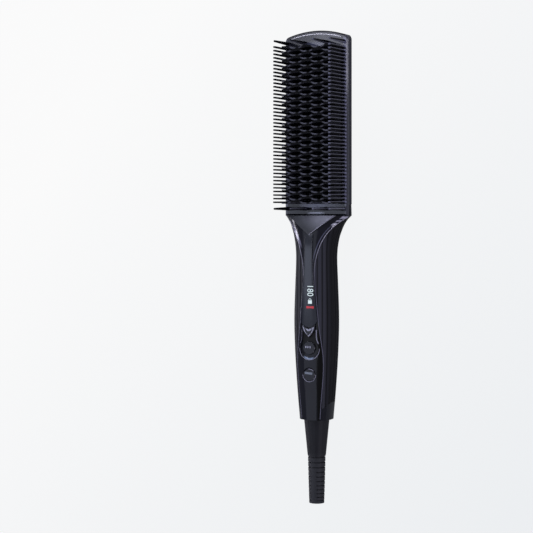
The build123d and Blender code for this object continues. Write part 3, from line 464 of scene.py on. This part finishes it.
def fin_coating():
    """Dark ceramic coating, painted highlights where a fin's crest slants down towards the tail."""
    look = Look("fin_coating")
    x, y, height = (look.axis(number) for number in range(3))
    number = look.maths("FLOOR", (y - FIRST_TOOTH_Y) / TOOTH_PITCH + 0.5)
    off_glint = off_whole(look, (x - GLINT_X) / FIN_WAVE - number * 0.5)
    # Painted highlights on the crests, strokes where the light would catch them.
    glint = look.span(abs(off_glint), *GLINT_REACH)
    glint = glint + look.span(abs(off_glint - SECOND_GLINT), *SECOND_REACH) * 0.75
    cloud = look.noise(500.0, 3.0)
    crest = look.span(height, *FIN_CREST_Z)
    shine = crest * glint * look.span(cloud, 0.3, 0.6, 0.6, 1.0)
    # Crests nearly black, the walls below them dark grey.
    colour = look.mix(crest, (0.11, 0.11, 0.14, 1), (0.003, 0.003, 0.004, 1))
    bump = look.node("Bump", {}, {"Strength": 0.3, "Distance": 0.00005, "Height": cloud})
    return look.skin(
        {
            "Base Color": look.mix(shine, colour, (0.14, 0.14, 0.175, 1)),
            "Metallic": shine * 0.3,
            "Roughness": look.span(cloud, 0.3, 0.7, 0.4, 0.5),
            "Specular IOR Level": 0.12,
            "Normal": bump,
        }
    )


wear("heater_plate", fin_coating())


# Front frame of the head: black plastic, moulded and polished, with a bevelled rim, a bowed tip
# and a window for the combs and fins. It is set on the back cover. Painted highlights lie beside
# the combs and on its end blocks. A bead painted as a highlight stands for its tip's rolled edge.
TAIL_END_Y = -0.1175  # tail end of the handle, from which places along the tool are measured
TOOL_LENGTH = 0.3
BOW_R = 0.0761  # of the bowed tip
BOW_HALF_W = 0.0212
BOW_INSET = 0.0028
LAND_X = (0.0248, 0.03, 0.0003)  # painted highlight: from, to and the soft margin outside them
# Places of painted highlights: at the teeth beside the combs, and on the blocks at the two ends.
LAND_EDGE_X = (0.0247, 0.0256, 0.0005)
LAND_EDGE_Y = (0.048, 0.1695, 0.001)
LOW_BLOCK_Y = (0.0458, 0.0485, 0.0003)
LOW_STEP_X = (-0.004, 0.004, 0.004)
LOW_STEP_Y = (0.0407, 0.0420, 0.0003)
TOP_BLOCK_X = (-0.006, 0.007, 0.006)
TOP_BLOCK_Y = (0.1695, 0.1728, 0.0015)
TOP_CORNER_X = (0.0238, 0.0252, 0.0008)
TOP_CORNER_Y = (0.1700, 0.1755, 0.001)
DOWN = Vector((0, 0, -1))
ABOVE = 0.2  # height from which the pieces are felt for


def polished_plastic(name, painted_light=None, dull=0.0):
    """Black plastic with a clear shine, slightly blue, with faint rubbing marks."""
    look = Look(name)
    cloud = look.noise(45.0, 4.0)
    rubs = look.noise(900.0, 3.0, 0.7)
    ripple = look.noise(140.0, 1.0)
    colour = look.mix(cloud, (0.0115, 0.012, 0.0195, 1), (0.0155, 0.016, 0.0255, 1))
    roughness = look.span(cloud * 0.7 + rubs * 0.3, 0.35, 0.65, 0.09, 0.17) + dull
    # A given function paints light and shade into the colour.
    if painted_light:
        colour, dulled = painted_light(look, colour)
        roughness = roughness + dulled
    bump = look.node("Bump", {}, {"Strength": 0.02, "Distance": 0.0001, "Height": ripple})
    return look.skin(
        {
            "Base Color": colour,
            "Roughness": roughness,
            "Specular IOR Level": 0.5,
            "Normal": bump,
        }
    )


def within(look, value, low, high, soft):
    """One between low and high, falling to nothing over a soft margin outside them."""
    return look.span(value, low - soft, low) * look.span(value, high + soft, high)


def frame_highlights(look, colour):
    """Frame of the head: painted highlights beside the combs and on the blocks at its two ends."""
    x, y = look.axis(0), look.axis(1)
    out = abs(x)
    colour = look.mix(within(look, out, *LAND_X), colour, (0.085, 0.085, 0.11, 1))
    land_edge = within(look, out, *LAND_EDGE_X) * within(look, y, *LAND_EDGE_Y)
    at_tooth = look.span(abs(off_tooth(look, y) - 0.1), 0.34, 0.12)
    colour = look.mix(land_edge * at_tooth, colour, (0.45, 0.45, 0.68, 1))
    fading = look.span(x, -0.015, -0.006) * look.span(x, 0.024, 0.003)
    low_block = within(look, y, *LOW_BLOCK_Y) * fading
    colour = look.mix(low_block, colour, (0.4, 0.42, 0.58, 1))
    low_step = within(look, y, *LOW_STEP_Y) * within(look, x, *LOW_STEP_X)
    colour = look.mix(low_step, colour, (0.78, 0.82, 1.0, 1))
    top_block = within(look, y, *TOP_BLOCK_Y) * within(look, x, *TOP_BLOCK_X)
    colour = look.mix(top_block, colour, (0.1, 0.108, 0.17, 1))
    top_corner = within(look, y, *TOP_CORNER_Y) * within(look, x, *TOP_CORNER_X)
    return look.mix(top_corner, colour, (0.2, 0.2, 0.3, 1)), 0.0


def set_piece(name, mesh, material, body="handle"):
    """Puts a mesh in the scene as a piece that rides on a body."""
    mesh.materials.clear()
    mesh.materials.append(material)
    piece = bpy.data.objects.new(name, mesh)
    scene.collection.objects.link(piece)
    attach(piece, body)


def edge_highlight(name, low, high):
    """Painted highlight along an edge, brightest round the neck and the tip of the head."""
    look = Look(name)
    cloud = look.noise(120.0, 2.0)
    neck = look.span(look.axis(1), -0.01, 0.03)
    # Painted highlight, brighter and more metallic from the neck up.
    shine = neck * look.span(cloud, 0.3, 0.6, 0.7, 1.0)
    return look.skin(
        {
            "Base Color": look.mix(shine, (*low, 1), (*high, 1)),
            "Metallic": 0.7 * neck,
            "Roughness": look.span(cloud, 0.3, 0.7, 0.3, 0.4),
        }
    )


def bead(name, node, lines, material, radius, body="handle"):
    """Fine tubes laid on a node along lines of points seen from above."""
    curve = bpy.data.curves.new(name, "CURVE")
    curve.dimensions = "3D"
    curve.bevel_depth = radius
    curve.bevel_resolution = 1
    for points in lines:
        path = curve.splines.new("POLY")
        path.points.add(len(points) - 1)
        for point, (x, u) in zip(path.points, points):
            y = TAIL_END_Y + u
            hit, spot, _, _ = nodes[node].ray_cast(Vector((x, y, ABOVE)), DOWN)
            assert hit, (name, x, u)
            point.co = (x, y, spot.z - radius / 2, 1)
    piece = bpy.data.objects.new(name, curve)
    scene.collection.objects.link(piece)
    mesh = bpy.data.meshes.new_from_object(piece)
    bpy.data.objects.remove(piece)
    mesh.shade_smooth()
    set_piece(name, mesh, material, body)


wear("head_frame", polished_plastic("polished_frame", frame_highlights))
bow_x = [BOW_HALF_W * (i / 15 - 1) for i in range(31)]
bow_line = [(x, TOOL_LENGTH - BOW_INSET - BOW_R + math.sqrt(BOW_R**2 - x * x)) for x in bow_x]
# Near-white painted highlight of the tip's bead.
tip_edge = edge_highlight("tip_edge", (0.9, 0.88, 0.98), (0.98, 0.95, 1.0))
bead("tip_bead", "head_frame", [bow_line], tip_edge, radius=0.00045)


# Neck collar and tail band: the arched band over the back of the neck, and the end piece of the
# handle with its U-shaped edge. Both are moulded in black plastic and polished, and each takes an
# end of the grip inside it.
polished = polished_plastic("polished_plastic")
for name in ("neck_collar", "tail_band"):
    wear(name, polished)


# Neck facet: flat triangle of moulded satin black plastic that leans from its apex down to the
# head, and sits between the panel's arms. A bead painted as a highlight stands for its right edge.
FACET_TIP = (0.0002, 0.1424)
FACET_CORNER = (0.0187, 0.1566)


def satin_plastic():
    """Fine satin black of the facet, with a painted highlight towards its right corner."""
    look = Look("satin_plastic")
    x, y = look.axis(0), look.axis(1)
    cloud = look.noise(70.0, 2.0)
    # Painted highlight, paler towards the right corner.
    corner_highlight = look.span(y + 0.45 * x, 0.028, 0.046) * look.span(x, -0.012, 0.006)
    colour = look.mix(cloud, (0.026, 0.027, 0.038, 1), (0.034, 0.035, 0.048, 1))
    grain = look.noise(7000.0, 2.0)
    bump = look.node("Bump", {}, {"Strength": 0.15, "Distance": 0.00002, "Height": grain})
    return look.skin(
        {
            "Base Color": look.mix(corner_highlight, colour, (0.42, 0.42, 0.51, 1)),
            "Roughness": look.span(cloud, 0.3, 0.7, 0.38, 0.44),
            "Normal": bump,
        }
    )


wear("neck_facet", satin_plastic())
lit_edge = edge_highlight("edge_highlight", (0.2, 0.19, 0.27), (0.7, 0.67, 0.8))
facet_line = [
    tuple(tip + (corner - tip) * i / 12 for tip, corner in zip(FACET_TIP, FACET_CORNER))
    for i in range(13)
]
bead("facet_bead", "neck_facet", [facet_line], lit_edge, radius=0.00025)


# Front panel: moulded gloss black plastic that closes the front of the grip, with two arms round
# the facet and a recess and holes for the keys. Fine beads, pale as painted highlights, stand for
# its rolled outer edge, the walls and rim of the recess and the rim of the power key's hole.
PANEL_ENDS = (0.001, 0.1562)
ARM_LOW, ARM_HIGH = -0.01, 0.0385  # stretch of the panel's arms along the tool
# Painted highlights on the arms: pale spots and a line on the right one, a band on the left.
ARM_PATCHES = ((0.0324, 0.0335), (0.0351, 0.0357), (0.0373, 0.0386))
ARM_FULL_WHITE = 0.03  # half width that white stands for in the ramp of the arms' edge
ARM_LINE = (0.0019, 0.0024, 0.0003)  # in from the right arm's edge: from, to and soft margin
LEFT_ARM_BAND = (0.0012, 0.0024, 0.0008)
LEFT_ARM_BAND_Y = (0.02, 0.03, 0.006)
# Dull black of the recess floor, and painted shade on the lower right flank.
DULL_BLACK_AND_SHADE = (0.0015, 0.0015, 0.002, 1)
FLANK_X, FLANK_Y = (0.0050, 0.0066), (-0.028, -0.038)
RECESS_FLOOR_X = (-0.0057, 0.0057, 0.0003)
RECESS_FLOOR_Y = (-0.0625, -0.0470, 0.0008)
RECESS_WALL = [(0.0061, 0.0697), (0.0061, 0.0640), (0.0066, 0.0615), (0.0077, 0.0590)]
RECESS_RIM = ((0, 0.05474), 0.0083)  # middle and radius
POWER_RIM = ((-0.0002, 0.0350), 0.00545)


def edge_x(node, y):
    """Half width of a node seen from above, at a place along the tool."""
    def covers(x):
        return nodes[node].ray_cast(Vector((x, y, ABOVE)), DOWN)[0]

    step = 0.0008
    high = 0.035
    while not covers(high - step):
        high -= step
    low = high - step
    for _ in range(8):
        middle = (low + high) / 2
        low, high = (middle, high) if covers(middle) else (low, middle)
    return low


def panel_finish_and_light(look, colour):
    """Front panel: painted shade on its lower right flank and painted highlights on its arms."""
    x, y = look.axis(0), look.axis(1)
    recess = within(look, y, *RECESS_FLOOR_Y) * within(look, x, *RECESS_FLOOR_X)
    colour = look.mix(recess, colour, DULL_BLACK_AND_SHADE)
    flank = look.span(x, *FLANK_X) * look.span(y, *FLANK_Y)
    colour = look.mix(flank, colour, DULL_BLACK_AND_SHADE)
    stops = []
    for i in range(17):
        half_width = edge_x("front_panel", ARM_LOW + (ARM_HIGH - ARM_LOW) * i / 16)
        grey = half_width / ARM_FULL_WHITE
        stops.append((i / 16, (grey, grey, grey, 1)))
    stops = [stops[0], stops[-1], *stops[1:-1]]  # the two that a ramp starts with come first
    along_arm = (y - ARM_LOW) / (ARM_HIGH - ARM_LOW)
    edge = look.node("ValToRGB", {"stops": stops}, {0: along_arm}) * ARM_FULL_WHITE
    inside = edge - abs(x)
    right = look.span(x, 0.001, 0.002)
    # Painted highlights along the right arm: a line in from its edge, and pale spots.
    line = within(look, inside, *ARM_LINE) * right * look.span(y, 0.0, 0.012)
    colour = look.mix(line, colour, (0.13, 0.13, 0.2, 1))
    arm_highlights = sum(within(look, y, low, high, 0.00035) for low, high in ARM_PATCHES)
    arm_highlights = arm_highlights * right * look.span(inside, 0.0034, 0.0026)
    colour = look.mix(arm_highlights, colour, (0.75, 0.73, 0.9, 1))
    # Painted highlight: a band along the left arm.
    band = within(look, inside, *LEFT_ARM_BAND) * (1 - right) * within(look, y, *LEFT_ARM_BAND_Y)
    return look.mix(band, colour, (0.3, 0.29, 0.4, 1)), recess * 0.45


def both_edges(node, low, high, inset):
    """Lines along both edges of a node, between two distances from the tail end."""
    places = [low + (high - low) * i / 60 for i in range(61)]
    right = [(edge_x(node, TAIL_END_Y + u) - inset, u) for u in places]
    return [[(-x, u) for x, u in right], right]


def rim_arc(middle, radius, start, end):
    """Points on an arc, between two angles given in turns."""
    turns = [math.tau * (start + (end - start) * i / 30) for i in range(31)]
    return [
        (middle[0] + radius * math.cos(turn), middle[1] + radius * math.sin(turn)) for turn in turns
    ]


wear("front_panel", polished_plastic("polished_panel", panel_finish_and_light))
panel_edges = both_edges("front_panel", *PANEL_ENDS, inset=0.00025)
bead("panel_bead", "front_panel", panel_edges, lit_edge, radius=0.0003)
# Painted highlight for the beads round the recess and the power key.
bright_rim = edge_highlight("bright_rim", (0.46, 0.45, 0.58), (0.55, 0.53, 0.66))
bead("recess_wall_bead", "front_panel", [RECESS_WALL], bright_rim, radius=0.00045)
left_wall = [(-x, u) for x, u in RECESS_WALL]
bead("recess_left_bead", "front_panel", [left_wall], lit_edge, radius=0.0002)
recess_arc = rim_arc(*RECESS_RIM, 0.49, 1.01)
bead("recess_rim_bead", "front_panel", [recess_arc], bright_rim, radius=0.00025)
power_arc = rim_arc(*POWER_RIM, 0.5, 1.0)
bead("power_rim_bead", "front_panel", [power_arc], bright_rim, radius=0.00028)


# Ramp of the recess: the scooped lower end of the hollow round the two upper keys, where its floor
# climbs to the panel. It is moulded with the panel and takes the light from past the head.
RAMP_KEY = (0.0555, 0.0053)  # place and radius of its edge at the key
RAMP_RIM = (0.05474, 0.0080)  # place and radius of the end of the recess
RAMP_TURNS = (1.15, 1.85)  # half turns at which it starts and ends
RAMP_ROWS, RAMP_STEPS = 24, 5
RAMP_DROP = 0.0005  # from the rim to the key
RAMP_SINK = 0.0001  # of the whole below the panel's front
RAMP_OUTSIDE = 1.12  # how far past the ramp the height of the panel's front is felt for
RAMP_PALE_X = (-0.0034, 0.0026, 0.0014)  # painted highlight: from, to and soft margin
RAMP_PALE_Y = (-0.0664, -0.0672)


def ramp_highlight(look, colour):
    """Painted highlight where the bottom of the scoop turns up towards the light."""
    x, y = look.axis(0), look.axis(1)
    bottom = within(look, x, *RAMP_PALE_X) * look.span(y, *RAMP_PALE_Y)
    return look.mix(bottom, colour, (0.3, 0.38, 0.56, 1)), 0.0


ramp = bmesh.new()
ramp_rows = []
for i in range(RAMP_ROWS + 1):
    turn = math.pi * (RAMP_TURNS[0] + (RAMP_TURNS[1] - RAMP_TURNS[0]) * i / RAMP_ROWS)
    row = []
    for j in range(RAMP_STEPS + 1):
        share = j / RAMP_STEPS
        middle, radius = (key + (rim - key) * share for key, rim in zip(RAMP_KEY, RAMP_RIM))
        x, u = radius * math.cos(turn), middle + radius * math.sin(turn)
        felt_u = RAMP_RIM[0] + (u - RAMP_RIM[0]) * RAMP_OUTSIDE
        felt = Vector((x * RAMP_OUTSIDE, TAIL_END_Y + felt_u, ABOVE))
        front = nodes["front_panel"].ray_cast(felt, DOWN)[1].z
        z = front - RAMP_DROP * (1 - share) - RAMP_SINK
        row.append(ramp.verts.new((x, TAIL_END_Y + u, z)))
    ramp_rows.append(row)
for row, next_row in zip(ramp_rows, ramp_rows[1:]):
    for j in range(RAMP_STEPS):
        ramp.faces.new((row[j], row[j + 1], next_row[j + 1], next_row[j]))
bmesh.ops.recalc_face_normals(ramp, faces=ramp.faces[:])
ramp_mesh = bpy.data.meshes.new("recess_ramp")
ramp.to_mesh(ramp_mesh)
ramp.free()
ramp_mesh.shade_smooth()
set_piece("recess_ramp", ramp_mesh, polished_plastic("polished_ramp", ramp_highlight))


# Display window: raised strip of smoked clear plastic that follows the panel's front from the
# facet to the keys. It is set in the panel over the display. Fine beads stand for its two edges.
WINDOW_ENDS = (0.0775, 0.1412)


def smoked_plastic():
    """Smoked clear strip over the display, dark right through."""
    look = Look("smoked_plastic")
    cloud = look.noise(55.0, 3.0)
    return look.skin(
        {
            "Base Color": look.mix(cloud, (0.008, 0.010, 0.021, 1), (0.012, 0.014, 0.027, 1)),
            "Roughness": look.span(cloud, 0.3, 0.7, 0.10, 0.15),
            "Specular IOR Level": 0.55,
        }
    )


wear("display_window", smoked_plastic())
window_edges = both_edges("display_window", *WINDOW_ENDS, inset=0.00015)
bead("window_bead", "display_window", window_edges, polished, radius=0.00018)


# Lit marks of the display: three digits, a padlock and a bar, shown through the smoked strip.
# They are printed light guides, so they lie a hair above the strip and follow its crown.
MARK_LIFT = 0.00006
MARK_X = 0.0015  # middle of the marks, right of the strip's middle
MARK_EDGE = 0.0007  # longer edges are cut, so that a mark bends with what carries it
DIGIT_SIZE = 0.0071
DIGIT_SQUEEZE = 0.86
DIGIT_CENTRE = 0.0998
LOCK_HALF_W = 0.0016
LOCK_LOW, LOCK_TOP = 0.0896, 0.0922
SHACKLE_R = (0.0010, 0.0013)  # across and along the tool
SHACKLE_WIDTH = 0.0004
BAR_U = 0.0869
BAR_HALF_W = 0.0031
BAR_HALF_H = 0.0009
BAR_WAIST = 0.7  # share of the height in the middle
BAR_END = 0.7  # share of the length where the waist starts


def lay_on(mesh, carrier, lift):
    """Drops a flat mesh on the top of a carrying node, fine enough to follow its crown."""
    made = bmesh.new()
    made.from_mesh(mesh)
    for _ in range(2):
        long_edges = [edge for edge in made.edges if edge.calc_length() > MARK_EDGE]
        bmesh.ops.subdivide_edges(made, edges=long_edges, cuts=1)
    bmesh.ops.triangulate(made, faces=made.faces[:])
    for vertex in made.verts:
        hit, spot, _, _ = nodes[carrier].ray_cast(Vector((*vertex.co.xy, ABOVE)), DOWN)
        vertex.co.z = (spot.z if hit else HANDLE_AXIS_Z) + lift
    made.to_mesh(mesh)
    made.free()


def flat_mesh(name, outlines):
    """Flat mesh of closed outlines, given in metres from the tail end on the middle line."""
    made = bmesh.new()
    for outline in outlines:
        made.faces.new([made.verts.new((x, TAIL_END_Y + u, 0)) for x, u in outline])
    mesh = bpy.data.meshes.new(name)
    made.to_mesh(mesh)
    made.free()
    return mesh


def strokes(points, width):
    """Outlines of the straight strokes of a line, each with square ends."""
    made = []
    for (x, u), (x_next, u_next) in zip(points, points[1:]):
        length = math.hypot(x_next - x, u_next - u)
        side_x = (u - u_next) / length * width / 2
        side_u = (x_next - x) / length * width / 2
        made.append(
            [
                (x + side_x, u + side_u),
                (x - side_x, u - side_u),
                (x_next - side_x, u_next - side_u),
                (x_next + side_x, u_next + side_u),
            ]
        )
    return made


def lit(name, colour, strength):
    """Glowing segment, a little uneven as the light spreads behind it."""
    look = Look(name)
    dim = (*[0.8 * value for value in colour[:3]], 1)
    return look.skin(
        {
            "Base Color": (0.02, 0.02, 0.02, 1),
            "Roughness": 0.3,
            "Emission Color": look.mix(look.noise(900.0, 1.0), dim, colour),
            "Emission Strength": strength,
        }
    )


def light_mark(name, mesh, material):
    """Lays a lit mark on the display's strip."""
    lay_on(mesh, "display_window", MARK_LIFT)
    set_piece(name, mesh, material)


pale_light = lit("pale_segments", rgb(222, 240, 246), 1.0)
red_light = lit("red_segment", rgb(192, 46, 60), 0.9)

digits_curve = bpy.data.curves.new("digits", "FONT")
digits_curve.body = "180"
digits_curve.size = DIGIT_SIZE
digits_curve.align_x = "CENTER"
digits_curve.align_y = "CENTER"
digits_text = bpy.data.objects.new("digits_text", digits_curve)
scene.collection.objects.link(digits_text)
digits_mesh = bpy.data.meshes.new_from_object(digits_text)
bpy.data.objects.remove(digits_text)
for vertex in digits_mesh.vertices:
    x, y, _ = vertex.co
    vertex.co = (MARK_X + y, TAIL_END_Y + DIGIT_CENTRE - x * DIGIT_SQUEEZE, 0)
light_mark("display_digits", digits_mesh, pale_light)

lock_corners = ((-1, LOCK_LOW), (1, LOCK_LOW), (1, LOCK_TOP), (-1, LOCK_TOP))
lock = [[(MARK_X + side * LOCK_HALF_W, u) for side, u in lock_corners]]
shackle = [
    (MARK_X + SHACKLE_R[0] * math.cos(turn), LOCK_TOP + SHACKLE_R[1] * math.sin(turn))
    for turn in (math.pi * i / 8 for i in range(9))
]
lock += strokes(shackle, SHACKLE_WIDTH)
light_mark("display_lock", flat_mesh("display_lock", lock), pale_light)

low_side = [(-1, -1), (-BAR_END, -1), (0, -BAR_WAIST), (BAR_END, -1), (1, -1)]
top_side = [(-x, -y) for x, y in low_side]
bar = [(MARK_X + x * BAR_HALF_W, BAR_U + y * BAR_HALF_H) for x, y in low_side + top_side]
light_mark("display_bar", flat_mesh("display_bar", [bar]), red_light)


# Keys: three caps of polished black plastic that stand in the panel's holes on a lip, over their
# switches. Two chevrons, three short bars and a long bar are printed on them in pale grey. A bead
# with a painted highlight stands for the rolled upper edge of the power key.
CHEVRON = [
    (-0.0050, 0.0745), (-0.0044, 0.0716), (-0.0028, 0.0677), (0, 0.0646),
    (0.0026, 0.0673), (0.0045, 0.0711), (0.0050, 0.0745),
]
INNER_CHEVRON = [(-0.0041, 0.0726), (0, 0.0689), (0.0037, 0.0713)]
MODE_BARS_X = (-0.0025, -0.0007, 0.0011)
MODE_BARS_ENDS = (0.0571, 0.0555)
POWER_BAR = [(-0.0038, 0.0364), (0.0027, 0.0360)]
POWER_KEY_EDGE = ((0, 0.0349), 0.0045)  # middle and radius


def key_ink(name, low, high):
    """Ink with a faint mottle."""
    look = Look(name)
    cloud = look.noise(1500.0, 1.0)
    return look.skin(
        {
            "Base Color": look.mix(cloud, (*low, 1), (*high, 1)),
            "Roughness": look.span(cloud, 0.3, 0.7, 0.3, 0.4),
        }
    )


def print_on(key, body, name, outlines, material):
    """Prints a mark on a key."""
    mesh = flat_mesh(name, outlines)
    lay_on(mesh, key, MARK_LIFT)
    set_piece(name, mesh, material, body)


polished_keys = polished_plastic("polished_keys", dull=0.12)
for name in ("key_up", "key_mode", "key_power"):
    wear(name, polished_keys)
ink = key_ink("pale_ink", (0.5, 0.5, 0.64), (0.66, 0.66, 0.82))
grey_print = key_ink("grey_ink", (0.21, 0.24, 0.3), (0.34, 0.38, 0.46))
chevrons = strokes(CHEVRON, width=0.0007) + strokes(INNER_CHEVRON, width=0.0012)
print_on("key_up", "up_key", "key_up_chevrons", chevrons, ink)
mode_bars = []
for x in MODE_BARS_X:
    mode_bars += strokes([(x, u) for u in MODE_BARS_ENDS], width=0.0008)
print_on("key_mode", "mode_key", "key_mode_marks", mode_bars, ink)
power_bar = strokes(POWER_BAR, width=0.0017)
print_on("key_power", "power_key", "key_power_bar", power_bar, grey_print)
key_arc = rim_arc(*POWER_KEY_EDGE, 0.12, 0.28)
bead("power_key_bead", "key_power", [key_arc], bright_rim, radius=0.00025, body="power_key")


# Strain relief: flexible plastic moulded round the lead, with a plain sleeve and a ribbed tail. Its
# spool turns in the end of the handle behind the tail band.
TAIL_PALE_Y = (-0.143, -0.149)  # where the sleeve's black turns into the tail's grey


def flexible_plastic():
    """Soft grey-black plastic with a dry skin, paler along the ribbed tail."""
    look = Look("flexible_plastic")
    cloud = look.noise(90.0, 4.0)
    grain = look.noise(3500.0, 2.0)
    colour = look.mix(cloud, (0.009, 0.009, 0.014, 1), (0.014, 0.014, 0.021, 1))
    tail = look.span(look.axis(1), *TAIL_PALE_Y)
    bump = look.node("Bump", {}, {"Strength": 0.3, "Distance": 0.00004, "Height": grain})
    return look.skin(
        {
            "Base Color": look.mix(tail, colour, (0.034, 0.034, 0.042, 1)),
            "Roughness": look.span(cloud, 0.3, 0.7, 0.5, 0.6),
            "Normal": bump,
        }
    )


wear("strain_relief", flexible_plastic(), 40)
